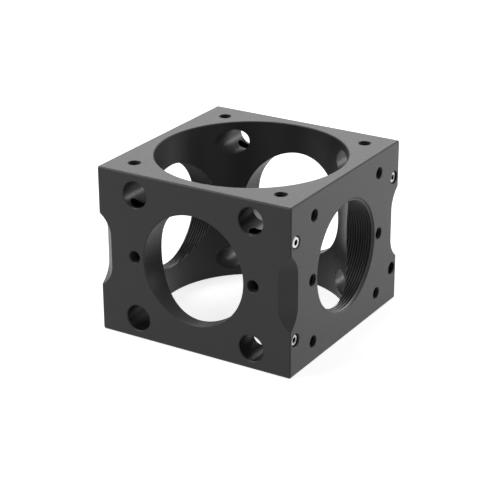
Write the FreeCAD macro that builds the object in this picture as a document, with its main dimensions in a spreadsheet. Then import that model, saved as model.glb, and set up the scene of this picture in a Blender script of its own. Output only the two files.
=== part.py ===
"""Optical cage cube for 6 mm rods on a 30 mm square.

A one-piece block, square in plan, holds three crossing bores: a wide one from
top to bottom, a smooth port from front to rear and a threaded port from side
to side. Four rod bores run from front to rear through the corners of the
walls. Eight set screws come in from the sides and graze the rod bores, two
screws to each, to wedge the rods.

Units are millimetres. The origin is where the three optical axes cross.
+X is the axis of the threaded ports, +Y runs along the rods, +Z is up.
"""
import FreeCAD, Part
import math
import os
import Sketcher

doc = FreeCAD.newDocument("cage_cube")
sheet = doc.addObject("Spreadsheet::Sheet", "Sizes")

DRIVING_SIZES = [
    ("block_side", 50.0, "length of the block along X and along Y"),
    ("block_height", 40.0, "height of the block"),
    ("block_edge_break", 0.3, "bevel on the twelve outer edges"),
    ("main_bore_wall", 2.9, "least wall between the main bore and a face of the block"),
    ("main_bore_break", 0.2, "bevel on its two rims"),
    ("smooth_port_diameter", 26.0, "bore from front to rear"),
    ("smooth_port_break", 0.2, "bevel on its two rims"),
    ("threaded_port_diameter", 26.3, "bore from side to side, at the thread's root"),
    ("threaded_port_break", 0.35, "bevel on its two rims"),
    ("corner_cut_depth", 2.25, "depth of the hollow in each upright edge, along the diagonal"),
    ("corner_cut_flat", 7.3, "height of the flat in that hollow"),
    ("corner_cut_radius", 7.6, "radius of the runout above and below the flat"),
    ("rod_diameter", 6.0, "cage rod"),
    ("rod_clearance", 0.1, "gap round a rod"),
    ("rod_spacing", 30.0, "side of the square that the rods stand on"),
    ("rod_bore_break", 0.2, "bevel on the rims of the rod bores"),
    ("tapping_drill", 2.5, "drill of the tapped holes"),
    ("cover_hole_spacing", 38.0, "square of tapped holes in the top and the bottom"),
    ("cover_hole_depth", 3.3, "their depth, which ends short of the rod bores"),
    ("plate_hole_spacing", 30.0, "square of tapped holes in the two threaded sides"),
    ("plate_hole_depth", 5.5, "their depth"),
    ("port_hole_spacing", 31.0, "pair of tapped holes beside each of the four ports"),
    ("port_hole_depth", 6.0, "their depth"),
    ("set_screw_diameter", 2.8, "outside of the set screw's thread"),
    ("set_screw_clearance", 0.05, "gap round a set screw"),
    ("set_screw_length", 5.0, "length of a set screw"),
    ("socket_across_flats", 1.27, "hexagon socket"),
    ("socket_depth", 1.8, "depth of the socket"),
    ("screw_hole_mouth", 3.4, "countersunk mouth of the set screw holes"),
    ("screw_hole_past_rod", 1.0, "how far those holes run past a rod's axis"),
    ("screw_edge_distance", 2.3, "from the front or rear face to a set screw's axis"),
    ("screw_below_rod", 3.5, "from a rod's axis to a set screw's axis, towards mid-height"),
    ("recess_near_flush", 0.15, "head of the set screw that stands almost flush"),
    ("recess_usual", 0.45, "head of the other set screws, below the side face"),
    ("recess_deep", 2.2, "head of the set screw that is driven in furthest"),
]

for row, (alias, number, meaning) in enumerate(DRIVING_SIZES, start=1):
    sheet.set("A%d" % row, alias)
    sheet.set("B%d" % row, str(number))
    sheet.setAlias("B%d" % row, alias)
    sheet.set("C%d" % row, meaning)
doc.recompute()

COUNTERSINK_ANGLE = 90.0
EDGE_COUNT = 4
DIAGONAL_TURN = 45.0
ZERO = 1e-9

SIGNS = (-1, 1)
HALF_SIDE = "Sizes.block_side / 2"
HALF_HEIGHT = "Sizes.block_height / 2"
MAIN_BORE = "Sizes.block_side - 2 * Sizes.main_bore_wall"
ROD_BORE = "Sizes.rod_diameter + 2 * Sizes.rod_clearance"
SCREW_BORE = "Sizes.set_screw_diameter + 2 * Sizes.set_screw_clearance"
SCREW_ACROSS = "Sizes.block_side / 2 - Sizes.screw_edge_distance"
SCREW_UP = "Sizes.rod_spacing / 2 - Sizes.screw_below_rod"


def value(expression):
    """The number that an expression on the size sheet gives."""
    return float(sheet.evalExpression(expression))


def signed(sign, expression):
    """The expression itself or its negative."""
    return expression if sign > 0 else "-(%s)" % expression


def origin_feature(body, role):
    """One of a body's own origin planes or axes, such as XY_Plane or Z_Axis."""
    for feature in body.Origin.OriginFeatures:
        if feature.Role == role:
            return feature
    raise ValueError("no origin feature " + role)


def new_sketch(body, name, plane, offset=None):
    """A sketch on an origin plane, or at a distance in front of it."""
    sketch = body.newObject("Sketcher::SketchObject", name)
    sketch.AttachmentSupport = (origin_feature(body, plane), "")
    sketch.MapMode = "FlatFace"
    if offset:
        sketch.setExpression("AttachmentOffset.Base.z", offset)
    return sketch


def bind(sketch, kind, first, second, expression):
    """A dimension between two points, each (element, point), bound to an expression."""
    index = sketch.addConstraint(
        Sketcher.Constraint(kind, *first, *second, value(expression)))
    sketch.setExpression("Constraints[%d]" % index, expression)


def pin(sketch, element, point, across, up):
    """Hold one point of an element at (across, up) from the sketch's origin."""
    here = (element, point)
    origin = (-1, 1)
    for kind, axis, expression in (("DistanceX", -2, across), ("DistanceY", -1, up)):
        number = value(expression)
        if abs(number) < ZERO:
            sketch.addConstraint(Sketcher.Constraint("PointOnObject", *here, axis))
        elif number > 0:
            bind(sketch, kind, origin, here, expression)
        else:
            bind(sketch, kind, here, origin, "-(%s)" % expression)


def add_outline(sketch, points):
    """A closed outline of straight lines through points given as expressions."""
    corners = [FreeCAD.Vector(value(across), value(up), 0) for across, up in points]
    count = len(points)
    lines = []
    for index in range(count):
        segment = Part.LineSegment(corners[index], corners[(index + 1) % count])
        lines.append(sketch.addGeometry(segment))
    for index in range(count):
        following = lines[(index + 1) % count]
        sketch.addConstraint(Sketcher.Constraint("Coincident", lines[index], 2, following, 1))
    for line, (across, up) in zip(lines, points):
        pin(sketch, line, 1, across, up)


def add_circle(sketch, across, up, diameter):
    """A circle whose centre and diameter are given as expressions."""
    centre = FreeCAD.Vector(value(across), value(up), 0)
    circle = Part.Circle(centre, FreeCAD.Vector(0, 0, 1), value(diameter) / 2)
    element = sketch.addGeometry(circle)
    pin(sketch, element, 3, across, up)
    index = sketch.addConstraint(Sketcher.Constraint("Diameter", element, value(diameter)))
    sketch.setExpression("Constraints[%d]" % index, diameter)


def add_four_circles(sketch, half_across, half_up, diameter):
    """Circles at the corners of a rectangle centred on the sketch's origin."""
    for across_sign in SIGNS:
        for up_sign in SIGNS:
            add_circle(sketch, signed(across_sign, half_across), signed(up_sign, half_up), diameter)


def add_two_circles(sketch, half_across, diameter):
    """Circles at the two ends of a line centred on the sketch's origin."""
    for across_sign in SIGNS:
        add_circle(sketch, signed(across_sign, half_across), "0", diameter)


def check_cut(body, feature, volume_before):
    """Recompute and make sure that the feature took material away."""
    doc.recompute()
    if not body.Shape.Volume < volume_before - ZERO:
        raise RuntimeError(feature.Name + " cuts nothing")


def bored_through(body, name, plane, axis, half_reach, diameter, rim_break):
    """A bore from face to face, with a bevel on both rims, turned about a sketch axis."""
    radius = "(%s) / 2" % diameter
    rim = "(%s) / 2 + %s" % (diameter, rim_break)
    wall_end = "%s - %s" % (half_reach, rim_break)
    profile = [
        ("0", "-(%s)" % half_reach),
        (rim, "-(%s)" % half_reach),
        (radius, "-(%s)" % wall_end),
        (radius, wall_end),
        (rim, half_reach),
        ("0", half_reach),
    ]
    if axis == "H_Axis":
        profile = [(up, across) for across, up in profile]
    sketch = new_sketch(body, name + "_profile", plane)
    add_outline(sketch, profile)
    volume = body.Shape.Volume
    groove = body.newObject("PartDesign::Groove", name)
    groove.Profile = sketch
    groove.ReferenceAxis = (sketch, [axis])
    groove.Angle = 360.0
    check_cut(body, groove, volume)


def drilled(body, name, sketch, diameter, depth, mirror_plane, mouth=None):
    """Flat-bottomed holes from one face and from the opposite one, countersunk to a mouth."""
    volume = body.Shape.Volume
    hole = body.newObject("PartDesign::Hole", name)
    hole.Profile = sketch
    doc.recompute()
    hole.ThreadType = "None"
    hole.DepthType = "Dimension"
    hole.DrillPoint = "Flat"
    hole.setExpression("Diameter", diameter)
    hole.setExpression("Depth", depth)
    if mouth:
        hole.HoleCutType = "Countersink"
        hole.HoleCutCustomValues = True
        hole.HoleCutCountersinkAngle = COUNTERSINK_ANGLE
        hole.setExpression("HoleCutDiameter", mouth)
    check_cut(body, hole, volume)
    volume = body.Shape.Volume
    mirrored = body.newObject("PartDesign::Mirrored", name + "_opposite")
    mirrored.Originals = [hole]
    mirrored.MirrorPlane = (origin_feature(body, mirror_plane), [""])
    body.Tip = mirrored
    check_cut(body, mirrored, volume)


def hollow_upright_edges(body):
    """The shallow hollow at mid-height of each upright edge.

    It is cut square to the block's diagonal, so the sketch stands on that diagonal:
    a flat, and above and below it a quarter circle that runs out past the edge.
    """
    edge_reach = "Sizes.block_side / sqrt(2)"
    floor = "%s - Sizes.corner_cut_depth" % edge_reach
    outside = "%s + Sizes.corner_cut_radius" % floor
    flat_top = "Sizes.corner_cut_flat / 2"
    top = "%s + Sizes.corner_cut_radius" % flat_top

    sketch = new_sketch(body, "edge_hollow_profile", "XZ_Plane")
    turn = FreeCAD.Rotation(FreeCAD.Vector(0, 1, 0), DIAGONAL_TURN)
    sketch.AttachmentOffset = FreeCAD.Placement(FreeCAD.Vector(0, 0, 0), turn)

    def corner(across, up_sign, up):
        return FreeCAD.Vector(value(across), up_sign * value(up), 0)

    def runout(up_sign):
        """The quarter circle above (+1) or below (-1) the flat."""
        centre = corner(outside, up_sign, flat_top)
        circle = Part.Circle(centre, FreeCAD.Vector(0, 0, 1), value("Sizes.corner_cut_radius"))
        quarter = math.pi / 2
        if up_sign > 0:
            return Part.ArcOfCircle(circle, quarter, 2 * quarter)
        return Part.ArcOfCircle(circle, 2 * quarter, 3 * quarter)

    flat = sketch.addGeometry(Part.LineSegment(corner(floor, -1, flat_top), corner(floor, 1, flat_top)))
    upper = sketch.addGeometry(runout(1))
    outer = sketch.addGeometry(Part.LineSegment(corner(outside, 1, top), corner(outside, -1, top)))
    lower = sketch.addGeometry(runout(-1))
    for first, first_end, second, second_end in (
            (flat, 2, upper, 2), (upper, 1, outer, 1), (outer, 2, lower, 2), (lower, 1, flat, 1)):
        sketch.addConstraint(Sketcher.Constraint("Coincident", first, first_end, second, second_end))
    pin(sketch, flat, 1, floor, "-(%s)" % flat_top)
    pin(sketch, flat, 2, floor, flat_top)
    pin(sketch, outer, 1, outside, top)
    pin(sketch, outer, 2, outside, "-(%s)" % top)
    for arc in (upper, lower):
        index = sketch.addConstraint(
            Sketcher.Constraint("Radius", arc, value("Sizes.corner_cut_radius")))
        sketch.setExpression("Constraints[%d]" % index, "Sizes.corner_cut_radius")

    volume = body.Shape.Volume
    pocket = body.newObject("PartDesign::Pocket", "edge_hollow")
    pocket.Profile = sketch
    pocket.Type = "Length"
    pocket.SideType = "Symmetric"
    pocket.setExpression("Length", "Sizes.block_side")
    check_cut(body, pocket, volume)
    volume = body.Shape.Volume
    pattern = body.newObject("PartDesign::PolarPattern", "four_edge_hollows")
    pattern.Originals = [pocket]
    pattern.Axis = (origin_feature(body, "Z_Axis"), [""])
    pattern.Angle = 360.0
    pattern.Occurrences = EDGE_COUNT
    body.Tip = pattern
    check_cut(body, pattern, volume)


def make_cube_body():
    """The machined block with all its bores, holes and edge hollows."""
    body = doc.addObject("PartDesign::Body", "cube_body")
    body.Label = "cube_body"

    plan = new_sketch(body, "block_plan", "XY_Plane")
    add_outline(plan, [
        ("-(%s)" % HALF_SIDE, "-(%s)" % HALF_SIDE),
        (HALF_SIDE, "-(%s)" % HALF_SIDE),
        (HALF_SIDE, HALF_SIDE),
        ("-(%s)" % HALF_SIDE, HALF_SIDE),
    ])
    block = body.newObject("PartDesign::Pad", "block")
    block.Profile = plan
    block.SideType = "Symmetric"
    block.setExpression("Length", "Sizes.block_height")
    doc.recompute()

    volume = body.Shape.Volume
    bevel = body.newObject("PartDesign::Chamfer", "outer_edges")
    bevel.Base = (block, ["Edge%d" % (index + 1) for index in range(len(block.Shape.Edges))])
    bevel.setExpression("Size", "Sizes.block_edge_break")
    check_cut(body, bevel, volume)

    hollow_upright_edges(body)

    bored_through(body, "main_bore", "XZ_Plane", "V_Axis", HALF_HEIGHT,
                  MAIN_BORE, "Sizes.main_bore_break")
    bored_through(body, "smooth_ports", "XY_Plane", "V_Axis", HALF_SIDE,
                  "Sizes.smooth_port_diameter", "Sizes.smooth_port_break")
    bored_through(body, "threaded_ports", "XY_Plane", "H_Axis", HALF_SIDE,
                  "Sizes.threaded_port_diameter", "Sizes.threaded_port_break")

    half_rods = "Sizes.rod_spacing / 2"
    sketch = new_sketch(body, "rod_centres", "XZ_Plane", HALF_SIDE)
    add_four_circles(sketch, half_rods, half_rods, ROD_BORE)
    drilled(body, "rod_bores", sketch, ROD_BORE, HALF_SIDE, "XZ_Plane",
            mouth=ROD_BORE + " + 2 * Sizes.rod_bore_break")

    half_cover = "Sizes.cover_hole_spacing / 2"
    sketch = new_sketch(body, "cover_hole_centres", "XY_Plane", HALF_HEIGHT)
    add_four_circles(sketch, half_cover, half_cover, "Sizes.tapping_drill")
    drilled(body, "cover_holes", sketch, "Sizes.tapping_drill", "Sizes.cover_hole_depth", "XY_Plane")

    half_plate = "Sizes.plate_hole_spacing / 2"
    sketch = new_sketch(body, "plate_hole_centres", "YZ_Plane", HALF_SIDE)
    add_four_circles(sketch, half_plate, half_plate, "Sizes.tapping_drill")
    drilled(body, "plate_holes", sketch, "Sizes.tapping_drill", "Sizes.plate_hole_depth", "YZ_Plane")

    half_pair = "Sizes.port_hole_spacing / 2"
    for side, plane in (("side", "YZ_Plane"), ("front", "XZ_Plane")):
        sketch = new_sketch(body, side + "_pair_centres", plane, HALF_SIDE)
        add_two_circles(sketch, half_pair, "Sizes.tapping_drill")
        drilled(body, side + "_pair_holes", sketch, "Sizes.tapping_drill",
                "Sizes.port_hole_depth", plane)

    sketch = new_sketch(body, "screw_centres", "YZ_Plane", HALF_SIDE)
    add_four_circles(sketch, SCREW_ACROSS, SCREW_UP, SCREW_BORE)
    screw_depth = "%s - %s + Sizes.screw_hole_past_rod" % (HALF_SIDE, half_rods)
    drilled(body, "screw_holes", sketch, SCREW_BORE, screw_depth, "YZ_Plane",
            mouth="Sizes.screw_hole_mouth")
    return body


def make_set_screw(name, side, end, level, recess):
    """A headless set screw with a flat point and a hexagon socket.

    It is made with its head at the origin facing +X, then stands in its hole:
    side is +1 or -1 for the right or left face, end for rear or front, level for
    the upper or lower row.
    """
    body = doc.addObject("PartDesign::Body", name)
    body.Label = name

    radius = "Sizes.set_screw_diameter / 2"
    tip = "-(Sizes.set_screw_length)"
    profile = new_sketch(body, name + "_profile", "XZ_Plane")
    add_outline(profile, [("0", "0"), ("0", radius), (tip, radius), (tip, "0")])
    turned = body.newObject("PartDesign::Revolution", name + "_turned")
    turned.Profile = profile
    turned.ReferenceAxis = (profile, ["H_Axis"])
    turned.Angle = 360.0
    doc.recompute()

    hexagon = new_sketch(body, name + "_hexagon", "YZ_Plane")
    add_outline(hexagon, [hexagon_corner(index) for index in range(6)])
    volume = body.Shape.Volume
    socket = body.newObject("PartDesign::Pocket", name + "_socket")
    socket.Profile = hexagon
    socket.Type = "Length"
    socket.setExpression("Length", "Sizes.socket_depth")
    check_cut(body, socket, volume)

    if side < 0:
        body.Placement.Rotation = FreeCAD.Rotation(FreeCAD.Vector(0, 0, 1), 180)
    body.setExpression("Placement.Base.x", signed(side, "(%s - %s)" % (HALF_SIDE, recess)))
    body.setExpression("Placement.Base.y", signed(end, SCREW_ACROSS))
    body.setExpression("Placement.Base.z", signed(level, SCREW_UP))
    return body


def hexagon_corner(index):
    """Corner of a hexagon that has two flats level, as a pair of expressions."""
    half_flats = "Sizes.socket_across_flats / 2"
    reach = "Sizes.socket_across_flats / sqrt(3)"
    half_reach = "Sizes.socket_across_flats / (2 * sqrt(3))"
    corners = [
        (reach, "0"),
        (half_reach, half_flats),
        ("-(%s)" % half_reach, half_flats),
        ("-(%s)" % reach, "0"),
        ("-(%s)" % half_reach, "-(%s)" % half_flats),
        (half_reach, "-(%s)" % half_flats),
    ]
    return corners[index]


SIDES = {1: "right", -1: "left"}
ENDS = {1: "rear", -1: "front"}
LEVELS = {1: "upper", -1: "lower"}
OTHER_RECESSES = {
    "set_screw_right_front_upper": "Sizes.recess_near_flush",
    "set_screw_right_rear_lower": "Sizes.recess_deep",
}

pieces = [make_cube_body()]
for side, side_word in SIDES.items():
    for end, end_word in ENDS.items():
        for level, level_word in LEVELS.items():
            screw_name = "set_screw_%s_%s_%s" % (side_word, end_word, level_word)
            screw_recess = OTHER_RECESSES.get(screw_name, "Sizes.recess_usual")
            pieces.append(make_set_screw(screw_name, side, end, level, screw_recess))
doc.recompute()

for item in doc.Objects:
    if "Invalid" in item.State or "Error" in item.State:
        raise RuntimeError("%s failed: %s" % (item.Name, item.State))
for piece in pieces:
    if piece.Shape.isNull() or not piece.Shape.isValid() or len(piece.Shape.Solids) != 1:
        raise RuntimeError(piece.Label + " is not one valid solid")

os.makedirs("parts", exist_ok=True)
for piece in pieces:
    piece.Shape.exportStep("parts/%s.step" % piece.Label)
    box = piece.Shape.BoundBox
    print("%-28s volume %9.2f  box %.2f %.2f %.2f to %.2f %.2f %.2f" % (
        piece.Label, piece.Shape.Volume, box.XMin, box.YMin, box.ZMin, box.XMax, box.YMax, box.ZMax))
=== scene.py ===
# %% [markdown]
# # A cage cube for optics
# The real object is one block of aluminium, milled, bead-blasted and anodised black. Three large
# bores cross in it, four rod bores run through its corners, and small screws come in from the
# sides to clamp the rods. This lesson dresses the CAD model of it in Blender. Every size is in
# metres, and the origin is where the three large bores cross.

# %% Load the frame
import math

import bmesh
import bpy
from mathutils import Matrix, Vector


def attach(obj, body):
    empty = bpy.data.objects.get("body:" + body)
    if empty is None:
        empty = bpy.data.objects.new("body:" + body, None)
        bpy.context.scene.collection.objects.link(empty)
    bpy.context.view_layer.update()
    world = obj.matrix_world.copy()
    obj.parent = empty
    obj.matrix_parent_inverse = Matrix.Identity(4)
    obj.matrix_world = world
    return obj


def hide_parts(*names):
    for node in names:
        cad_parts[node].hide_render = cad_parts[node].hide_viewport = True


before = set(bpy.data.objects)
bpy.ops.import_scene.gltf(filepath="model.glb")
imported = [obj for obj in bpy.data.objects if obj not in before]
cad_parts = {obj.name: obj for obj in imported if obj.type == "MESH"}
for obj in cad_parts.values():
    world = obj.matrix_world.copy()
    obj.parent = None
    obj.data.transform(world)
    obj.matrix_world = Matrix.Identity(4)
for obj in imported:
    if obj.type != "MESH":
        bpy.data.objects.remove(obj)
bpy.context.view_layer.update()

# %% [markdown]
# ## Camera
# A product photograph is taken from far away with a long lens, so its edges run almost parallel.
# The place, the turn and the focal length below were fitted to the corners, rims and holes in the
# photograph. The alternative, turning the camera by eye, never brings all the holes into line.

# %% Camera
PHOTO_WIDTH = 500
SENSOR_WIDTH = 36.0
CLIP_START = 0.01
FOCAL_PIXELS = 1665.129
CAMERA_PLACE = Vector((0.18602, -0.30361, 0.14810))
CAMERA_RIGHT = Vector((0.85294, 0.52199, -0.00375))
CAMERA_DOWN = Vector((0.20137, -0.33565, -0.92021))
CAMERA_AHEAD = Vector((-0.48160, 0.78413, -0.39140))

camera_data = bpy.data.cameras.new("camera")
camera_data.sensor_width = SENSOR_WIDTH
camera_data.lens = FOCAL_PIXELS * SENSOR_WIDTH / PHOTO_WIDTH
camera_data.clip_start = CLIP_START
camera = bpy.data.objects.new("camera", camera_data)
camera_turn = Matrix((CAMERA_RIGHT, -CAMERA_DOWN, -CAMERA_AHEAD)).transposed()
camera.matrix_world = Matrix.Translation(CAMERA_PLACE) @ camera_turn.to_4x4()
bpy.context.collection.objects.link(camera)
bpy.context.scene.camera = camera
print("lens: %.1f mm, distance: %.3f m" % (camera_data.lens, CAMERA_PLACE.length))

# %% [markdown]
# ## Sizes
# The block is 50 mm square and 40 mm high. The sizes of the blank come first. Every other size is
# written once too, in the cell that first needs it, and all that follows reads it from there, so
# a bore and the thread inside it can never disagree.

# %% Sizes of the blank
MM = 0.001
HALF_SIDE = 25.0 * MM
HALF_HEIGHT = 20.0 * MM
EDGE_BEVEL = 0.3 * MM
print("block: %.0f mm square, %.0f mm high" % (2 * HALF_SIDE / MM, 2 * HALF_HEIGHT / MM))

# %% [markdown]
# ## Black finishes
# The block is bead-blasted: thousands of tiny dents scatter the light, so it shines softly and
# never mirrors. Anodising then adds a thin hard layer that takes black dye. That layer is glossy
# in its own right, which is why the top looks grey where it mirrors the bright wall behind.
# A flat black would lose all of this, so colour, roughness and bump each get their own noise.
# The blasting hardly reaches into the bores, so they stay smoother; their darker colour is painted
# shade. The port threads are a little darker than the outside, and the small holes and their
# threads are near black with painted shade. One function with other numbers makes all four.

# %% Helpers: add a node
def feed(tree, socket, value):
    """Link a socket to another node's output, or give it a constant."""
    if isinstance(value, bpy.types.NodeSocket):
        tree.links.new(value, socket)
    else:
        socket.default_value = value


def add_node(tree, kind, inputs=(), **settings):
    """Add a node, set its settings, and link or fill its inputs by name or number."""
    node = tree.nodes.new(kind)
    for name, value in settings.items():
        setattr(node, name, value)
    for key, value in dict(inputs).items():
        feed(tree, node.inputs[key], value)
    return node


# %% Helper: a finish
# Blender's noise seldom leaves this range, so a span is stretched from it.
NOISE_LOW, NOISE_HIGH = 0.3, 0.7


class Finish:
    """A material on Object coordinates, built line by line."""

    def __init__(self, name):
        self.material = bpy.data.materials.new(name)
        self.material.use_nodes = True
        self.tree = self.material.node_tree
        self.shader = self.tree.nodes["Principled BSDF"]
        self.place = self.node("ShaderNodeTexCoord").outputs["Object"]

    def node(self, kind, inputs=(), **settings):
        """Add a node to this material."""
        return add_node(self.tree, kind, inputs, **settings)

    def noise(self, size, detail=2.0):
        """Noise whose blobs are about this size in metres."""
        return self.node("ShaderNodeTexNoise", {"Vector": self.place, "Scale": 1.0 / size,
                                                "Detail": detail}).outputs[0]

    def span(self, value, low, high):
        """Stretch noise to a range of numbers."""
        return self.node("ShaderNodeMapRange", {0: value, 1: NOISE_LOW, 2: NOISE_HIGH, 3: low,
                                                4: high}).outputs[0]

    def shades(self, value, low, high):
        """Mix two colours by a value. Sockets 6 and 7 are a Mix node's two colours."""
        return self.node("ShaderNodeMix", {0: value, 6: low, 7: high},
                         data_type="RGBA").outputs[2]

    def dents(self, size, depth, strength, detail=2.0):
        """The normal of a surface with dents of this size and depth."""
        return self.node("ShaderNodeBump", {"Height": self.noise(size, detail), "Distance": depth,
                                            "Strength": strength}).outputs[0]

    def set(self, **values):
        """Fill the main shader's sockets; underscores stand for spaces."""
        for name, value in values.items():
            feed(self.tree, self.shader.inputs[name.replace("_", " ")], value)


# %% Black anodised finishes
# Black dye leans a little to blue, so blue is the stronger of its three shares.
BLUE_SHARE = 1.03
DYE_CLOUDS = 9 * MM
SHEEN_GRAIN = 0.5 * MM
DENT_DEPTH = 0.02 * MM
DENT_STRENGTH = 0.35
DENT_DETAIL = 3.0


def anodised(name, dye_and_shade, roughness, ior, dent):
    """Dyed black; dye_and_shade and roughness are (low, high), dent is the size of the surface's
    dents.

    For the bores and the small holes, dye_and_shade is darker than the dye: painted shade.
    """
    coat = Finish(name)
    low, high = ((tone, tone, BLUE_SHARE * tone, 1) for tone in dye_and_shade)
    coat.set(Base_Color=coat.shades(coat.noise(DYE_CLOUDS), low, high), IOR=ior,
             Normal=coat.dents(dent, DENT_DEPTH, DENT_STRENGTH, DENT_DETAIL),
             Roughness=coat.span(coat.noise(SHEEN_GRAIN), *roughness))
    print("%-20s %d nodes" % (name, len(coat.tree.nodes)))
    return coat.material


BLASTED = anodised("blasted_black", (0.019, 0.024), (0.37, 0.45), 1.40, 0.12 * MM)
# Darker than the outside: painted shade in the bores.
BORE_SHADE = anodised("bored_black", (0.012, 0.015), (0.38, 0.46), 1.34, 0.20 * MM)
THREADED = anodised("threaded_black", (0.017, 0.021), (0.40, 0.48), 1.42, 0.10 * MM)
# Near black: painted shade in the small holes and their threads.
PAINTED_SHADE_IN_HOLES = anodised("black_in_small_holes", (0.005, 0.007), (0.50, 0.60), 1.25, 0.08 * MM)

# %% [markdown]
# ## Cutting tools
# A machinist makes this block by taking away. The same works here: each bore is a turned solid,
# bevels at its mouths included, and a boolean takes it from the block. A profile is a list of
# (radius, height, slot), and turning it makes the tool. The slot says whether a band cuts a wall
# or a rim, and the boolean carries the tool's finish over to the faces that it cuts. Drawing the
# bored faces by hand instead would leave the curves where two bores meet to guesswork.

# %% Helper: an object from a bmesh
def make_object(name, shape, *finishes):
    """Store a bmesh as a new object at the origin, with a slot for each finish."""
    mesh = bpy.data.meshes.new(name)
    shape.to_mesh(mesh)
    shape.free()
    for finish in finishes:
        mesh.materials.append(finish)
    piece = bpy.data.objects.new(name, mesh)
    bpy.context.collection.objects.link(piece)
    return piece


# %% Helper: turn a profile about an axis
WALL, RIM = 0, 1


def add_turned(shape, profile, columns, place):
    """Add a closed solid of (radius, height, slot) rings along the local Z of a place.

    A ring's slot is that of the band below it, so the first ring's slot isn't read.
    """
    rings = []
    for radius, height, slot in profile:
        ring = []
        for index in range(columns):
            angle = 2 * math.pi * index / columns
            point = Vector((radius * math.cos(angle), radius * math.sin(angle), height))
            ring.append(shape.verts.new(place @ point))
        rings.append(ring)
    for lower, upper, (_, _, slot) in zip(rings, rings[1:], profile[1:]):
        for index in range(columns):
            after = (index + 1) % columns
            face = shape.faces.new((lower[index], lower[after], upper[after], upper[index]))
            face.material_index = slot
    shape.faces.new(list(reversed(rings[0])))
    shape.faces.new(rings[-1])


def along(direction, origin=(0, 0, 0)):
    """The place whose local Z points in a direction, from an origin."""
    turn = Vector(direction).to_track_quat("Z", "Y").to_matrix().to_4x4()
    return Matrix.Translation(Vector(origin)) @ turn


# %% Helper: the profile of a bore
BORE_SPARE = 1.0 * MM


def through_profile(radius, bevel, half_length):
    """A bore from face to face; its rims run on outside, so that no two faces coincide."""
    return [
        (radius + bevel + BORE_SPARE, -half_length - BORE_SPARE, RIM),
        (radius, -half_length + bevel, RIM),
        (radius, half_length - bevel, WALL),
        (radius + bevel + BORE_SPARE, half_length + BORE_SPARE, RIM),
    ]


# %% Helpers: keep what a modifier makes, and cut
def keep_result(piece, modifier):
    """Make what a modifier shows the piece's own plain mesh, and remove the modifier."""
    bpy.context.view_layer.update()
    view = bpy.context.evaluated_depsgraph_get()
    mesh = bpy.data.meshes.new_from_object(piece.evaluated_get(view))
    piece.modifiers.remove(modifier)
    old = piece.data
    piece.data = mesh
    bpy.data.meshes.remove(old)
    mesh.name = piece.name
    return mesh


def cut(piece, tool, title):
    """Boolean the tool out of the piece, finish and all, and delete the tool."""
    modifier = piece.modifiers.new("cut", "BOOLEAN")
    modifier.operation = "DIFFERENCE"
    modifier.solver = "EXACT"
    modifier.material_mode = "TRANSFER"
    modifier.object = tool
    mesh = keep_result(piece, modifier)
    bpy.data.objects.remove(tool)
    print("%-16s leaves %5d faces" % (title, len(mesh.polygons)))


# %% [markdown]
# ## The blank
# The blank is a plain block with a small bevel on its twelve edges, which the real one has so that
# it doesn't cut fingers. The bevel is what catches the light along the edges in a photograph. A
# Bevel modifier at the end would round the rims of all the holes as well, so it comes first.

# %% Blank with bevelled edges
blank = bmesh.new()
bmesh.ops.create_cube(blank, size=1.0)
bmesh.ops.scale(blank, vec=(2 * HALF_SIDE, 2 * HALF_SIDE, 2 * HALF_HEIGHT), verts=blank.verts)
bmesh.ops.bevel(blank, geom=blank.edges[:], offset=EDGE_BEVEL, segments=1, affect="EDGES")
block = make_object("cube_block", blank, BLASTED)
print("blank faces:", len(block.data.polygons))

# %% [markdown]
# ## Hollows in the upright edges
# Each upright edge has a shallow hollow for a thumb, milled square to the diagonal: a flat, and
# above and below it an arc that runs out past the edge. The tool is that outline, drawn on the
# diagonal plane and pulled sideways. A cylinder laid across the edge would be quicker, but it
# leaves no flat.

# %% Hollows in the upright edges
HOLLOW_DEPTH = 2.25 * MM
HOLLOW_HALF_FLAT = 3.65 * MM
HOLLOW_HALF_WIDTH = 8.0 * MM
HOLLOW_RADIUS = 7.6 * MM
HOLLOW_STEPS = 24


def hollow_outline():
    """The outline as (outwards, up) points: lower arc, flat, upper arc."""
    bottom = HALF_SIDE * math.sqrt(2) - HOLLOW_DEPTH
    outside = bottom + HOLLOW_RADIUS
    points = []
    for side in (-1, 1):
        arc = []
        for step in range(HOLLOW_STEPS + 1):
            angle = math.pi / 2 * step / HOLLOW_STEPS
            rise = HOLLOW_HALF_FLAT + HOLLOW_RADIUS * math.sin(angle)
            arc.append((outside - HOLLOW_RADIUS * math.cos(angle), side * rise))
        points += arc if side > 0 else list(reversed(arc))
    return points


hollows = bmesh.new()
for quarter in range(4):
    place = Matrix.Rotation(math.pi / 4 + quarter * math.pi / 2, 4, "Z")
    sheets = []
    for sideways in (-HOLLOW_HALF_WIDTH, HOLLOW_HALF_WIDTH):
        sheets.append([hollows.verts.new(place @ Vector((out, sideways, up)))
                       for out, up in hollow_outline()])
    count = len(sheets[0])
    hollows.faces.new(sheets[0])
    hollows.faces.new(list(reversed(sheets[1])))
    for index in range(count):
        after = (index + 1) % count
        hollows.faces.new((sheets[0][after], sheets[0][index], sheets[1][index], sheets[1][after]))
bmesh.ops.recalc_face_normals(hollows, faces=hollows.faces)
cut(block, make_object("tool", hollows, BLASTED), "edge hollows")

# %% [markdown]
# ## The three large bores
# The main bore runs from top to bottom and leaves a thin wall. The smooth port runs from front to
# rear, and the threaded port from side to side, for a lens tube. All have bevelled rims. The
# three differ only in size and direction, so one loop turns and cuts them.

# %% Large bores
MAIN_RADIUS = 22.1 * MM
SMOOTH_RADIUS = 13.0 * MM
THREAD_RADIUS = 13.15 * MM
RIM_BEVEL = 0.2 * MM
THREAD_RIM_BEVEL = 0.35 * MM
MAIN_COLUMNS = 192
PORT_COLUMNS = 144

# The main bore and the smooth port take the darker bore finish: painted shade.
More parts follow.
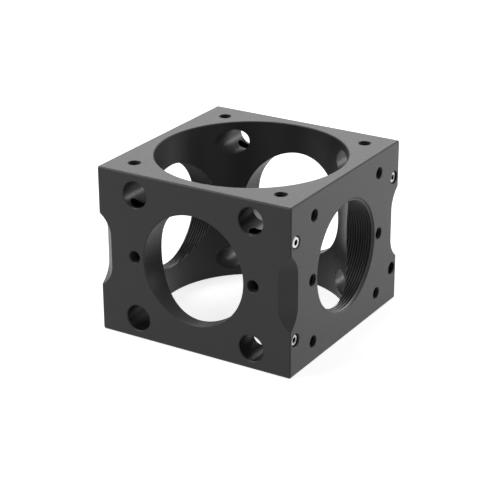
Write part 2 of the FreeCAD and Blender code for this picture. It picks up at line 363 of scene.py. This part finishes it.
for title, radius, bevel, half_length, columns, direction, finish in (
        ("main bore", MAIN_RADIUS, RIM_BEVEL, HALF_HEIGHT, MAIN_COLUMNS, (0, 0, 1), BORE_SHADE),
        ("smooth port", SMOOTH_RADIUS, RIM_BEVEL, HALF_SIDE, PORT_COLUMNS, (0, 1, 0), BORE_SHADE),
        ("threaded port", THREAD_RADIUS, THREAD_RIM_BEVEL, HALF_SIDE, PORT_COLUMNS, (1, 0, 0),
         BLASTED)):
    bore = bmesh.new()
    add_turned(bore, through_profile(radius, bevel, half_length), columns, along(direction))
    cut(block, make_object("tool", bore, finish, BLASTED), title)
print("wall of the main bore: %.1f mm" % ((HALF_SIDE - MAIN_RADIUS) / MM))

# %% [markdown]
# ## Rod bores
# Four smooth bores take 6 mm rods on a 30 mm square. They run right through the corners of the
# walls and open into the main bore on the way, which leaves the curved windows seen inside the
# cube. They don't touch each other, so all four are one tool and one cut.

# %% Rod bores
ROD_RADIUS = 3.1 * MM
ROD_PLACE = 15.0 * MM
ROD_COLUMNS = 64

rod_bores = bmesh.new()
for side in (-1, 1):
    for level in (-1, 1):
        add_turned(rod_bores, through_profile(ROD_RADIUS, RIM_BEVEL, HALF_SIDE), ROD_COLUMNS,
                   along((0, 1, 0), (side * ROD_PLACE, 0, level * ROD_PLACE)))
# The rod bores' walls take the darker bore finish: painted shade.
cut(block, make_object("tool", rod_bores, BORE_SHADE, BLASTED), "rod bores")

# %% [markdown]
# ## What repeats
# The small holes, their threads and the set screws repeat, so Geometry Nodes make them: a tree is
# a rule with named sizes, and each use of it fills them in. The exported model can't hold
# instances or a live modifier, so each tree ends by making its copies real, and its result is
# kept as a plain mesh whose faces are made to look outwards. Copying by hand in a loop gives the
# same shapes, but nothing that a reader can take into another scene.

# %% Helper: a Geometry Nodes tree
class NodeTree:
    """A Geometry Nodes tree with named inputs, built line by line."""

    def __init__(self, name):
        self.tree = bpy.data.node_groups.new(name, "GeometryNodeTree")
        self.tree.interface.new_socket("Geometry", in_out="OUTPUT",
                                       socket_type="NodeSocketGeometry")
        self.entry = self.tree.nodes.new("NodeGroupInput")
        self.exit = self.tree.nodes.new("NodeGroupOutput")

    def size(self, name, value=None, kind="NodeSocketFloat"):
        """Add a named input and give back its socket inside the tree."""
        socket = self.tree.interface.new_socket(name, in_out="INPUT", socket_type=kind)
        if value is not None:
            socket.default_value = value
        return self.entry.outputs[name]

    def node(self, kind, inputs=(), **settings):
        """Add a node to this tree."""
        return add_node(self.tree, kind, inputs, **settings)

    def math(self, operation, *values):
        """One step of arithmetic."""
        return self.node("ShaderNodeMath", enumerate(values), operation=operation).outputs[0]

    def vector(self, **parts):
        """A vector from its X, Y and Z."""
        return self.node("ShaderNodeCombineXYZ", parts).outputs[0]

    def marked(self, name, kind):
        """Read a named attribute."""
        return self.node("GeometryNodeInputNamedAttribute", {"Name": name},
                         data_type=kind).outputs[0]

    def coat(self, geometry, finish, where=True):
        """Set the finish of the geometry, or of a part of it."""
        return self.node("GeometryNodeSetMaterial", {"Geometry": geometry, "Material": finish,
                                                     "Selection": where}).outputs[0]

    def real(self, instances):
        """Make instances real."""
        return self.node("GeometryNodeRealizeInstances", {"Geometry": instances}).outputs[0]

    def stand_on_points(self, points, shape, axis):
        """Stand a shape on every point, with an axis turned to the point's direction."""
        turned = self.node("FunctionNodeAlignRotationToVector",
                           {"Vector": self.marked("direction", "FLOAT_VECTOR")}, axis=axis)
        return self.real(self.node("GeometryNodeInstanceOnPoints", {
            "Points": points, "Instance": shape, "Rotation": turned.outputs[0]}).outputs[0])

    def so_far(self, done):
        """Say how many nodes the tree has by now."""
        print("tree: %-20s %-14s %2d nodes" % (self.tree.name, done, len(self.tree.nodes)))

    def finish(self, geometry):
        """Connect the result."""
        self.tree.links.new(geometry, self.exit.inputs[0])
        self.so_far("whole")
        return self.tree


# %% Helper: round where it is round
SHARP_ANGLE = math.radians(25)


def shade(mesh):
    """Smooth a mesh, apart from the edges that turn by more than the sharp angle."""
    mesh.shade_smooth()
    mesh.set_sharp_from_angle(angle=SHARP_ANGLE)


# %% Helper: run a tree and keep its mesh
TINY = 0.0005 * MM


def grow(name, tree, sizes, start=None):
    """Run a tree with named sizes on an object and keep the result as a plain mesh."""
    piece = bpy.data.objects.new(name, start or bpy.data.meshes.new(name))
    bpy.context.collection.objects.link(piece)
    modifier = piece.modifiers.new("grow", "NODES")
    modifier.node_group = tree
    for item in tree.interface.items_tree:
        if item.in_out == "INPUT" and item.name in sizes:
            modifier[item.identifier] = sizes[item.name]
    mesh = keep_result(piece, modifier)
    shape = bmesh.new()
    shape.from_mesh(mesh)
    bmesh.ops.dissolve_degenerate(shape, edges=shape.edges, dist=TINY)
    bmesh.ops.recalc_face_normals(shape, faces=shape.faces)
    open_edges = sum(1 for edge in shape.edges if not edge.is_manifold)
    shape.to_mesh(mesh)
    shape.free()
    shade(mesh)
    print("%-30s %5d faces, %d open edges" % (name, len(mesh.polygons), open_edges))
    return piece


# %% [markdown]
# ## Small holes
# Tapped holes hold covers and clamps: four shallow ones in the top and the bottom, and deep ones
# in the sides, four round each threaded port and two beside every port. The set screws have holes
# of their own, which come in from the sides and just graze the rod bores, so that a screw's point
# wedges its rod instead of pressing on its middle. Each kind of hole is a list of places and
# directions, which serves twice: first for the drill, and later for the thread.

# %% Where the holes are
COVER_PLACE = 19.0 * MM
PLATE_PLACE = 15.0 * MM
PAIR_PLACE = 15.5 * MM
SCREW_ACROSS = 22.7 * MM
SCREW_UP = 11.5 * MM

shallow_holes, deep_holes, screw_holes = [], [], []
for face in (-1, 1):
    for first in (-1, 1):
        for second in (-1, 1):
            shallow_holes.append(((first * COVER_PLACE, second * COVER_PLACE,
                                   face * HALF_HEIGHT), (0, 0, face)))
            deep_holes.append(((face * HALF_SIDE, first * PLATE_PLACE, second * PLATE_PLACE),
                               (face, 0, 0)))
            screw_holes.append(((face * HALF_SIDE, first * SCREW_ACROSS, second * SCREW_UP),
                                (face, 0, 0)))
        deep_holes.append(((face * HALF_SIDE, first * PAIR_PLACE, 0), (face, 0, 0)))
        deep_holes.append(((first * PAIR_PLACE, face * HALF_SIDE, 0), (0, face, 0)))
print("holes:", len(shallow_holes), "shallow,", len(deep_holes), "deep,", len(screw_holes),
      "for set screws")


# %% Helper: points that carry a direction
def hole_points(name, holes):
    """One point for each hole, at its mouth, with its direction as an attribute."""
    mesh = bpy.data.meshes.new(name)
    mesh.from_pydata([origin for origin, direction in holes], [], [])
    headings = mesh.attributes.new("direction", "FLOAT_VECTOR", "POINT")
    for index, (origin, direction) in enumerate(holes):
        headings.data[index].vector = direction
    return mesh


# %% The tree that stands a drill in every hole
# A drill's walls take the finish that is named, and its rims keep their own.
drilling = NodeTree("drill in every hole")
drill_points = drilling.size("Points", kind="NodeSocketGeometry")
drill_pattern = drilling.node("GeometryNodeObjectInfo", {
    "Object": drilling.size("Drill", kind="NodeSocketObject"), "As Instance": True})
drills_stood = drilling.stand_on_points(drill_points, drill_pattern.outputs["Geometry"], "Z")
slot_number = drilling.node("GeometryNodeInputMaterialIndex").outputs[0]
drills_in_holes = drilling.finish(drilling.coat(
    drills_stood, drilling.size("Material", kind="NodeSocketMaterial"),
    drilling.math("LESS_THAN", slot_number, WALL + 0.5)))

# %% Helper: drill all holes of a kind
DRILL_COLUMNS = 32
DRILL_TIP = 0.02 * MM
DRILL_POINT = 0.8 * MM
DRILL_SPARE = 0.5 * MM


def drill(title, holes, radius, mouth, depth):
    """Cut a kind of hole from the block, with a drill point and a countersunk mouth."""
    shape = bmesh.new()
    add_turned(shape, [(DRILL_TIP, -depth - DRILL_POINT, WALL), (radius, -depth, WALL),
                       (radius, radius - mouth, WALL), (mouth + DRILL_SPARE, DRILL_SPARE, RIM)],
               DRILL_COLUMNS, Matrix.Identity(4))
    pattern = make_object("drill", shape, PAINTED_SHADE_IN_HOLES, BLASTED)
    # The drills' walls carry the painted shade of the small holes.
    drills = grow("drills_" + title, drills_in_holes, {"Drill": pattern, "Material": PAINTED_SHADE_IN_HOLES},
                  hole_points(title, holes))
    bpy.data.objects.remove(pattern)
    cut(block, drills, title + " holes")


# %% Drill the small holes
TAP_RADIUS = 1.42 * MM
TAP_MOUTH = 1.55 * MM
SHALLOW_DEPTH = 3.0 * MM
DEEP_DEPTH = 5.5 * MM
SCREW_HOLE_RADIUS = 1.5 * MM
SCREW_HOLE_MOUTH = 1.7 * MM
SCREW_HOLE_DEPTH = 11.0 * MM

drill("shallow", shallow_holes, TAP_RADIUS, TAP_MOUTH, SHALLOW_DEPTH)
drill("deep", deep_holes, TAP_RADIUS, TAP_MOUTH, DEEP_DEPTH)
drill("screw", screw_holes, SCREW_HOLE_RADIUS, SCREW_HOLE_MOUTH, SCREW_HOLE_DEPTH)

# %% [markdown]
# ## Shading the block
# Flat faces stay flat and bores look round when the mesh is smooth everywhere except at edges
# sharper than some angle. The steps of a bore turn by less than 12 degrees and every real edge by
# 45 or more, so 25 degrees keeps them apart. It is set on the mesh, because a modifier for it
# would have to be kept live.

# %% Shade the block
shade(block.data)
finish_counts = [0] * len(block.data.materials)
for face in block.data.polygons:
    finish_counts[face.material_index] += 1
for material, count in zip(block.data.materials, finish_counts):
    print("%-20s %4d faces" % (material.name, count))

# %% [markdown]
# ## A thread as a rule
# A thread follows a rule: going once round moves it one pitch along. Geometry Nodes can state
# that rule directly. A flat grid is rolled up: one direction becomes the angle, the other the
# rows from root to crest and back. Each row leans by angle / full turn times the pitch, and rows
# that would leave the hole are held at its ends, where they fall together and are merged.
# Modelling one turn and stacking copies would leave steps where the turns meet.

# %% The thread ring tree: inputs
# Left alone, the inputs give the thread of a side port, with 40 turns to the inch. The back lies
# a little way inside the metal, so that the ring's rear can't show.
THREAD_CREST = 12.81 * MM
THREAD_PITCH = 0.635 * MM
PORT_BACKING = 0.05 * MM
PORT_THREAD_START = 17.2 * MM
PORT_THREAD_END = HALF_SIDE - 0.36 * MM
PORT_THREAD_TURNS = 14

ring = NodeTree("thread ring")
root = ring.size("Root radius", THREAD_RADIUS)
crest = ring.size("Crest radius", THREAD_CREST)
back = ring.size("Back radius", THREAD_RADIUS + PORT_BACKING)
pitch = ring.size("Pitch", THREAD_PITCH)
inner_end = ring.size("Inner end", PORT_THREAD_START)
outer_end = ring.size("Outer end", PORT_THREAD_END)
crossing = ring.size("Crossing bore radius", 0.0)
columns = ring.size("Columns", PORT_COLUMNS, "NodeSocketInt")
thread_turns = ring.size("Turns", PORT_THREAD_TURNS, "NodeSocketInt")
ring_finish = ring.size("Material", kind="NodeSocketMaterial")
ring.so_far("inputs")

# %% The thread ring tree: the grid and its angle
ROWS_PER_TURN = 4.0
CLOSING_ROWS = 3.0

rows = ring.math("MULTIPLY_ADD", thread_turns, ROWS_PER_TURN, CLOSING_ROWS)
grid = ring.node("GeometryNodeMeshGrid", {
    "Size X": 1.0, "Size Y": 1.0,
    "Vertices X": ring.math("ADD", columns, 1.0), "Vertices Y": ring.math("ADD", rows, 1.0)})
flat = ring.node("ShaderNodeSeparateXYZ", {0: ring.node("GeometryNodeInputPosition").outputs[0]})
turn_share = ring.math("ADD", flat.outputs["X"], 0.5)
row_share = ring.math("ADD", flat.outputs["Y"], 0.5)
angle = ring.math("MULTIPLY", turn_share, 2 * math.pi)
row = ring.math("ROUND", ring.math("MULTIPLY", row_share, rows))
ring.so_far("angle and row")

# %% The thread ring tree: where each row lies
# The last three rows close the ring behind the thread: two lie on its back, the third is row 0.
# Rows come in pairs, half a pitch apart: one pair bounds a crest, the next a root. Each of those
# is flat over an eighth of the pitch, so the second row of a pair lies that far from the first.
FLAT_SHARE = 0.125

last_thread_row = ring.math("SUBTRACT", rows, CLOSING_ROWS)
is_back = ring.math("GREATER_THAN", row, ring.math("ADD", last_thread_row, 0.5))
is_inner = ring.math("GREATER_THAN", row, ring.math("ADD", last_thread_row, 1.5))
is_first = ring.math("GREATER_THAN", row, ring.math("ADD", last_thread_row, 2.5))
on_back = ring.math("SUBTRACT", is_back, is_first)

odd = ring.math("MODULO", row, 2.0)
turns_along = ring.math("ADD", ring.math("MULTIPLY", row, 1 / ROWS_PER_TURN),
                        ring.math("MULTIPLY_ADD", odd, FLAT_SHARE - 1 / ROWS_PER_TURN,
                                  -1 - FLAT_SHARE / 2))
lean = ring.math("ADD", turns_along, turn_share)
free_along = ring.math("MULTIPLY_ADD", lean, pitch, inner_end)
ring.so_far("rows")

# %% The thread ring tree: the two ends
# Where another bore crosses, the inner end follows that bore's wall. A radius of zero means that
# none crosses.
SMALLEST_BORE = 0.01 * MM

reach_radius = ring.math("MULTIPLY_ADD", on_back, ring.math("SUBTRACT", back, crest), crest)
across = ring.math("MULTIPLY", reach_radius, ring.math("COSINE", angle))
beyond = ring.math("SUBTRACT", ring.math("MULTIPLY", crossing, crossing),
                   ring.math("MULTIPLY", across, across))
uncrossed = ring.math("LESS_THAN", crossing, SMALLEST_BORE)
wall = ring.math("SUBTRACT", ring.math("SQRT", ring.math("MAXIMUM", beyond, 0.0)), uncrossed)
start = ring.math("MAXIMUM", wall, inner_end)
held = ring.math("MINIMUM", ring.math("MAXIMUM", free_along, start), outer_end)
held = ring.math("ADD", ring.math("MULTIPLY", held, ring.math("SUBTRACT", 1.0, is_back)),
                 ring.math("MULTIPLY", outer_end, ring.math("SUBTRACT", is_back, is_inner)))
along_axis = ring.math("MULTIPLY_ADD", start, is_inner, held)
ring.so_far("ends")

# %% The thread ring tree: root, flank and crest
phase = ring.math("SUBTRACT", ring.math("DIVIDE", ring.math("SUBTRACT", along_axis, inner_end),
                                        pitch), turn_share)
wave = ring.math("PINGPONG", phase, 0.5)
flank = ring.node("ShaderNodeMapRange", {0: wave, 1: FLAT_SHARE / 2, 2: 0.5 - FLAT_SHARE / 2,
                                         3: root, 4: crest})
radius = ring.math("ADD", ring.math("MULTIPLY", flank.outputs[0],
                                    ring.math("SUBTRACT", 1.0, on_back)),
                   ring.math("MULTIPLY", back, on_back))
rolled = ring.vector(X=along_axis, Y=ring.math("MULTIPLY", radius, ring.math("COSINE", angle)),
                     Z=ring.math("MULTIPLY", radius, ring.math("SINE", angle)))
ring.so_far("radius")

# %% The thread ring tree: roll up and close
MERGE_REACH = 0.001 * MM

placed = ring.node("GeometryNodeSetPosition",
                   {"Geometry": grid.outputs["Mesh"], "Position": rolled})
closed = ring.node("GeometryNodeMergeByDistance", {"Geometry": placed.outputs[0],
                                                   "Distance": MERGE_REACH})
thread_ring = ring.finish(ring.coat(ring.real(closed.outputs[0]), ring_finish))

# %% [markdown]
# ## Threads of the side ports
# The photograph shows fine rings inside the right port: the thread for a lens tube. One ring is
# grown for each side. The left one is turned half round instead of mirrored, because a mirrored
# thread would be left-handed.

# %% Threads of the side ports
port_threads = []
for title, half_turn in (("right", 0.0), ("left", math.pi)):
    thread = grow("port_thread_" + title, thread_ring, {
        "Crossing bore radius": MAIN_RADIUS, "Material": THREADED})
    thread.data.transform(Matrix.Rotation(half_turn, 4, "Z"))
    port_threads.append(thread)

# %% [markdown]
# ## Threads of the small holes
# The same rule serves the small holes. A second tree holds the first, passes its sizes on, and
# stands a ring on the point of every hole. Bump in the material could fake these threads, but it
# would leave the holes' outlines round, and the threads would be missing from the mesh.

# %% The tree that stands a ring in every hole
ringing = NodeTree("ring in every hole")
ring_points = ringing.size("Points", kind="NodeSocketGeometry")
ring_node = ringing.node("GeometryNodeGroup", node_tree=thread_ring)
for item in thread_ring.interface.items_tree:
    if item.in_out == "INPUT":
        value = None if item.name == "Material" else item.default_value
        feed(ringing.tree, ring_node.inputs[item.name],
             ringing.size(item.name, value, item.socket_type))
rings_in_holes = ringing.finish(ringing.coat(
    ringing.stand_on_points(ring_points, ring_node.outputs[0], "X"),
    ringing.entry.outputs["Material"]))

# %% Threads of the small holes
TAP = {"Root radius": TAP_RADIUS, "Crest radius": 1.18 * MM, "Pitch": THREAD_PITCH,
       "Outer end": -0.2 * MM}
SCREW_PITCH = 0.5 * MM
SCREW_TAP = {"Root radius": SCREW_HOLE_RADIUS, "Crest radius": 1.42 * MM, "Pitch": SCREW_PITCH,
             "Outer end": -0.25 * MM}
SCREW_THREAD_DEPTH = 5.5 * MM
BOTTOM_GAP = 0.1 * MM
HOLE_BACKING = 0.04 * MM
HOLE_THREAD_COLUMNS = 24

hole_threads = []
for title, holes, sizes, depth, turns in (
        ("shallow", shallow_holes, TAP, SHALLOW_DEPTH - BOTTOM_GAP, 7),
        ("deep", deep_holes, TAP, DEEP_DEPTH - BOTTOM_GAP, 11),
        ("screws", screw_holes, SCREW_TAP, SCREW_THREAD_DEPTH, 12)):
    # The holes' threads take the same painted shade.
    hole_threads.append(grow("hole_threads_" + title, rings_in_holes, {
        **sizes, "Back radius": sizes["Root radius"] + HOLE_BACKING, "Inner end": -depth,
        "Turns": turns, "Columns": HOLE_THREAD_COLUMNS, "Material": PAINTED_SHADE_IN_HOLES},
        hole_points(title, holes)))

# %% [markdown]
# ## Steel finishes
# The set screws are bare steel, turned on a lathe, so they are bright, with fine marks that blur
# what they mirror. Their sockets are punched, not turned: the walls are torn and rough. One
# bright steel all over would make the sockets shine like lamps, so they get a near black finish of
# their own, which is painted shade.

# %% Steel turned on a lathe
STEEL_CLOUDS = 0.4 * MM
STEEL_GRAIN = 0.15 * MM
LATHE_MARKS = 0.05 * MM
MARK_DEPTH = 0.01 * MM
MARK_STRENGTH = 0.2

steel = Finish("turned_steel")
steel.set(Base_Color=steel.shades(steel.noise(STEEL_CLOUDS), (0.46, 0.46, 0.45, 1),
                                  (0.59, 0.59, 0.58, 1)),
          Metallic=1.0, Normal=steel.dents(LATHE_MARKS, MARK_DEPTH, MARK_STRENGTH),
          Roughness=steel.span(steel.noise(STEEL_GRAIN), 0.24, 0.38))
print("turned steel:", len(steel.tree.nodes), "nodes")

# %% Steel inside the sockets
TEARS = 0.06 * MM
TEAR_STRENGTH = 0.4
SOCKET_GRAIN = 0.2 * MM

socket_shade_steel = Finish("steel_in_sockets")
# Near black: painted shade inside the sockets.
socket_shade_steel.set(Base_Color=(0.05, 0.05, 0.05, 1), Metallic=1.0,
               Normal=socket_shade_steel.dents(TEARS, MARK_DEPTH, TEAR_STRENGTH),
               Roughness=socket_shade_steel.span(socket_shade_steel.noise(SOCKET_GRAIN), 0.45, 0.60))
print("steel in sockets:", len(socket_shade_steel.tree.nodes), "nodes")

# %% [markdown]
# ## Set screws
# A set screw has no head: it is a threaded rod with a hexagon socket at one end and a cup at the
# other. Rings of points, each with its own radius rule, make it in one go. A Screw modifier turns
# threads too, but it can't fade them out at the bevelled ends. With 24 columns the six corners of
# the socket fall exactly on columns.

# %% Sizes of a set screw
SCREW_LENGTH = 5.0 * MM
SCREW_RADIUS = 1.4 * MM
SCREW_ROOT = 1.22 * MM
SCREW_COLUMNS = 24
ROWS_PER_PITCH = 8
FLANK_SLOPE = 2.6
FLANK_START = 0.15
HEAD_BEVEL = 0.22 * MM
POINT_RADIUS = 0.8 * MM
CUP_RADIUS = 0.75 * MM
CUP_DEPTH = 0.4 * MM
SOCKET_HALF_FLATS = 0.635 * MM
SOCKET_DEPTH = 1.8 * MM
SOCKET_END = 2.1 * MM
print("set screw: %.1f mm across, %.1f mm long, pitch %.1f mm"
      % (2 * SCREW_RADIUS / MM, SCREW_LENGTH / MM, SCREW_PITCH / MM))


# %% Radius rules of a set screw
def cup_radius(angle):
    """Rim of the cup in the screw's point."""
    return CUP_RADIUS


def hexagon_radius(angle):
    """Distance from the middle to a hexagon's side, in a direction."""
    sixth = math.pi / 3
    return SOCKET_HALF_FLATS / math.cos((angle % sixth) - sixth / 2)


def thread_radius(place, angle):
    """Radius of the screw's thread; it fades out at both bevelled ends."""
    phase = (place / SCREW_PITCH - angle / (2 * math.pi)) % 1.0
    ridge = min(max((0.5 - abs(phase - 0.5)) * FLANK_SLOPE - FLANK_START, 0.0), 1.0)
    radius = SCREW_ROOT + (SCREW_RADIUS - SCREW_ROOT) * ridge
    return min(radius, SCREW_RADIUS - HEAD_BEVEL - place, POINT_RADIUS + place + SCREW_LENGTH)


# %% One set screw
def screw_shape():
    """A set screw along X with its head at the origin, as a bmesh."""
    shape = bmesh.new()
    rings = [(cup_radius, -SCREW_LENGTH)]
    steps = int(SCREW_LENGTH / SCREW_PITCH * ROWS_PER_PITCH)
    for step in range(steps + 1):
        place = -SCREW_LENGTH + SCREW_LENGTH * step / steps
        rings.append((lambda angle, place=place: thread_radius(place, angle), place))
    rings.append((hexagon_radius, 0.0))
    rings.append((hexagon_radius, -SOCKET_DEPTH))
    loops = []
    for radius_at, place in rings:
        loop = []
        for index in range(SCREW_COLUMNS):
            angle = 2 * math.pi * index / SCREW_COLUMNS
            radius = radius_at(angle)
            loop.append(shape.verts.new((place, radius * math.cos(angle),
                                         radius * math.sin(angle))))
        loops.append(loop)
    in_socket = shape.faces.layers.int.new("in_socket")
    for lower, upper in zip(loops, loops[1:]):
        for index in range(SCREW_COLUMNS):
            after = (index + 1) % SCREW_COLUMNS
            face = shape.faces.new((lower[index], lower[after], upper[after], upper[index]))
            face[in_socket] = int(upper is loops[-1])
    for loop, place in ((loops[0], CUP_DEPTH - SCREW_LENGTH), (loops[-1], -SOCKET_END)):
        middle = shape.verts.new((place, 0, 0))
        for index in range(SCREW_COLUMNS):
            face = shape.faces.new((loop[index], loop[(index + 1) % SCREW_COLUMNS], middle))
            face[in_socket] = int(loop is loops[-1])
    bmesh.ops.recalc_face_normals(shape, faces=shape.faces)
    return shape


screw_pattern = make_object("screw_pattern", screw_shape())
shade(screw_pattern.data)
print("one set screw:", len(screw_pattern.data.polygons), "faces")

# %% [markdown]
# ## Standing the screws in their holes
# All eight screws are one shape, and each stands in its hole at its own depth. A small tree takes
# the pattern and the place, depth and turn of each. The screws move apart from each other, so
# every one becomes an object of its own that rides on its own body. The pattern's faces say
# whether they lie in the socket, and the tree gives those a finish of their own.

# %% The tree that stands a screw
USUAL_RECESS = 0.45 * MM

setter = NodeTree("set screw in its hole")
pattern_in = setter.size("Pattern", kind="NodeSocketObject")
side_in = setter.size("Side", 1.0)
recess_in = setter.size("Recess", USUAL_RECESS)
across_in = setter.size("Across", SCREW_ACROSS)
up_in = setter.size("Up", SCREW_UP)
turn_in = setter.size("Socket turn", 0.0)
coat_in = setter.size("Material", kind="NodeSocketMaterial")
socket_coat_in = setter.size("Socket material", kind="NodeSocketMaterial")
pattern_node = setter.node("GeometryNodeObjectInfo", {"Object": pattern_in, "As Instance": True})
spun = setter.node("GeometryNodeTransform", {"Geometry": pattern_node.outputs["Geometry"],
                                             "Rotation": setter.vector(X=turn_in)})
facing = setter.math("MULTIPLY", setter.math("SUBTRACT", 1.0, side_in), math.pi / 2)
head_place = setter.math("MULTIPLY", side_in, setter.math("SUBTRACT", HALF_SIDE, recess_in))
stood = setter.node("GeometryNodeTransform", {
    "Geometry": spun.outputs[0], "Rotation": setter.vector(Z=facing),
    "Translation": setter.vector(X=head_place, Y=across_in, Z=up_in)})
coated = setter.coat(setter.real(stood.outputs[0]), coat_in)
# The socket faces take the steel with painted shade.
screw_in_hole = setter.finish(setter.coat(coated, socket_coat_in,
                                          setter.marked("in_socket", "INT")))

# %% Stand all eight screws
# No two sockets stand at the same angle, so each is turned further than the one before.
SIDES = {1: "right", -1: "left"}
ENDS = {1: "rear", -1: "front"}
LEVELS = {1: "upper", -1: "lower"}
RECESSES = {"right_front_upper": 0.15 * MM, "right_rear_lower": 2.2 * MM}
FIRST_TURN = 0.3
FURTHER_TURN = 0.7

screws = {}
for side, side_word in SIDES.items():
    for end, end_word in ENDS.items():
        for level, level_word in LEVELS.items():
            words = "%s_%s_%s" % (side_word, end_word, level_word)
            # The socket material is the steel with painted shade.
            screws[words] = grow("steel_screw_" + words, screw_in_hole, {
                "Pattern": screw_pattern, "Side": float(side), "Across": end * SCREW_ACROSS,
                "Recess": RECESSES.get(words, USUAL_RECESS), "Up": level * SCREW_UP,
                "Socket turn": FIRST_TURN + FURTHER_TURN * len(screws),
                "Material": steel.material, "Socket material": socket_shade_steel.material})
bpy.data.objects.remove(screw_pattern)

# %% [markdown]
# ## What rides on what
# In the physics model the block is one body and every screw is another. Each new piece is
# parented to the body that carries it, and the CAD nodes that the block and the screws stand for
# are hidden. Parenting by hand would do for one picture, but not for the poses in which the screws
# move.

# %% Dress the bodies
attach(block, "cube")
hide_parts("cube_body")
for thread in port_threads + hole_threads:
    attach(thread, "cube")
for words, screw in screws.items():
    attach(screw, "screw_" + words)
    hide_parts("set_screw_" + words)
print("pieces:", 1 + len(port_threads) + len(hole_threads) + len(screws))

# %% [markdown]
# ## Floor
# The photograph's floor is so bright that it is pure white, and only a faint shadow is left of
# it. Light alone could do that only by burning out the object, so the floor glows a little, but
# only for the eye: for rays that come from the camera, or from it by way of a shiny or a clear
# surface. It lights nothing, and its plain part still takes the object's shadow. It lies a hair
# below the block, so that no two faces coincide.

# %% Helper: what the eye sees
def seen_by_eye(tree):
    """1 for rays from the camera and for those it sends by way of shiny or clear things."""
    rays = tree.nodes.new("ShaderNodeLightPath")
    seen = rays.outputs["Is Camera Ray"]
    for other in ("Is Glossy Ray", "Is Transmission Ray"):
        seen = add_node(tree, "ShaderNodeMath", {0: seen, 1: rays.outputs[other]},
                        operation="MAXIMUM").outputs[0]
    return seen


# %% Floor
FLOOR_HALF_SIDE = 3.0
FLOOR_GAP = 0.02 * MM
FLOOR_GLOW = 0.78
FLOOR_GREY = (0.80, 0.80, 0.80, 1)
WHITE = (1, 1, 1, 1)

floor_height = -HALF_HEIGHT - FLOOR_GAP
floor_shape = bmesh.new()
bmesh.ops.create_grid(floor_shape, x_segments=1, y_segments=1, size=FLOOR_HALF_SIDE)
bmesh.ops.translate(floor_shape, vec=(0, 0, floor_height), verts=floor_shape.verts)
floor_finish = Finish("pale_floor")
glow = floor_finish.node("ShaderNodeMath", {0: seen_by_eye(floor_finish.tree), 1: FLOOR_GLOW},
                         operation="MULTIPLY")
floor_finish.set(Base_Color=FLOOR_GREY, Roughness=0.6, Emission_Color=WHITE,
                 Emission_Strength=glow.outputs[0])
floor = make_object("floor", floor_shape, floor_finish.material)
print("floor: %.2f mm below the middle of the block" % (-floor_height / MM))

# %% [markdown]
# ## Background and lamps
# The world is white to the eye in the same way as the floor, and a weak grey as a light, so the
# object stands on white from every side. Broad soft lamps stand for the studio's light boxes. The
# one behind gives the top its sheen, the one high at the front left lights the front and the
# bevels along its upper edge, and the one low at the right lights the threaded side. The white
# floor does the rest: it is mirrored weakly in every upright face.

# %% World
WORLD_LIGHT = 0.10

world = bpy.data.worlds.new("studio")
world.use_nodes = True
background = world.node_tree.nodes["Background"]
strength = add_node(world.node_tree, "ShaderNodeMapRange", {
    "Value": seen_by_eye(world.node_tree), "To Min": WORLD_LIGHT, "To Max": 1.0})
feed(world.node_tree, background.inputs["Color"], WHITE)
feed(world.node_tree, background.inputs["Strength"], strength.outputs[0])
bpy.context.scene.world = world
print("world: white to the eye, %.2f as a light" % WORLD_LIGHT)


# %% Lamps
def add_lamp(name, place, size, watts):
    """A square soft box that faces the object."""
    data = bpy.data.lights.new(name, "AREA")
    data.size = size
    data.energy = watts
    lamp = bpy.data.objects.new(name, data)
    lamp.matrix_world = along(place, place)
    bpy.context.collection.objects.link(lamp)
    print("lamp %-10s %.1f W at %.2f m" % (name, watts, Vector(place).length))


add_lamp("behind", (-0.42, 0.68, 0.50), 0.5, 2.0)
add_lamp("front_left", (-0.55, -0.45, 0.70), 0.5, 3.4)
add_lamp("right", (0.42, 0.48, 0.15), 0.2, 2.1)

bpy.context.scene.view_settings.view_transform = "Standard"
